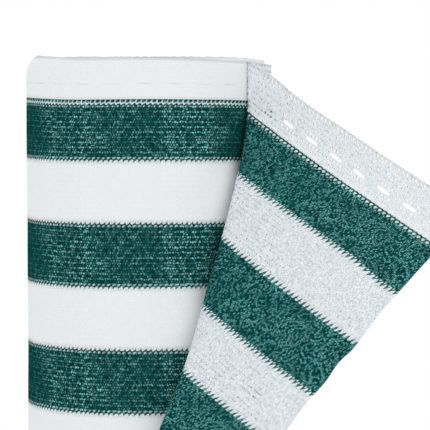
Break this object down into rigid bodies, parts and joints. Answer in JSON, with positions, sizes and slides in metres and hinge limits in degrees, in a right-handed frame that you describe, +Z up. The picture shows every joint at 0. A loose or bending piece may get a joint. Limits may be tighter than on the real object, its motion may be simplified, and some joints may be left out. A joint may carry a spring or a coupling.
{
  "type": "roll of striped windbreak cloth",
  "caption": "Upright roll of green and white striped knitted windbreak cloth on a core tube, with the free end's corner turned back to show its buttonhole hem.",
  "frame": {"origin": "on the roll's axis at the floor, at the lower end of the core tube's bore", "axes": "+Z up along the roll's axis; -Y towards the picture's viewpoint; +X to the right, where the turned corner hangs out"},
  "size_m": [0.3337, 0.2602, 0.9],
  "materials": {
    "knitted_green": "knitted polyethylene mesh, deep green, slightly glossy tapes",
    "knitted_white": "knitted polyethylene mesh, white, slightly glossy tapes",
    "core_cardboard": "plain spiral-wound cardboard"
  },
  "bodies": {
    "root": {"core_tube": "core_cardboard", "top_hem_wound": "knitted_white", "green_1_wound": "knitted_green", "white_1_wound": "knitted_white", "green_2_wound": "knitted_green", "white_2_wound": "knitted_white", "green_3_wound": "knitted_green", "white_3_wound": "knitted_white", "green_4_wound": "knitted_green", "white_4_wound": "knitted_white", "green_5_wound": "knitted_green", "white_5_wound": "knitted_white", "green_6_wound": "knitted_green", "white_6_wound": "knitted_white", "green_7_wound": "knitted_green", "white_7_wound": "knitted_white", "green_8_wound": "knitted_green", "white_8_wound": "knitted_white", "green_9_wound": "knitted_green", "bottom_hem_wound": "knitted_white", "top_hem_free_end": "knitted_white", "green_1_free_end": "knitted_green", "white_1_free_end": "knitted_white", "green_2_free_end": "knitted_green", "white_2_free_end": "knitted_white", "green_3_free_end": "knitted_green", "white_3_free_end": "knitted_white", "green_4_free_end": "knitted_green", "white_4_free_end": "knitted_white", "green_5_free_end": "knitted_green", "white_5_free_end": "knitted_white", "green_6_free_end": "knitted_green", "white_6_free_end": "knitted_white", "green_7_free_end": "knitted_green", "white_7_free_end": "knitted_white", "green_8_free_end": "knitted_green", "white_8_free_end": "knitted_white", "green_9_free_end": "knitted_green", "bottom_hem_free_end": "knitted_white"}
  },
  "joints": []
}
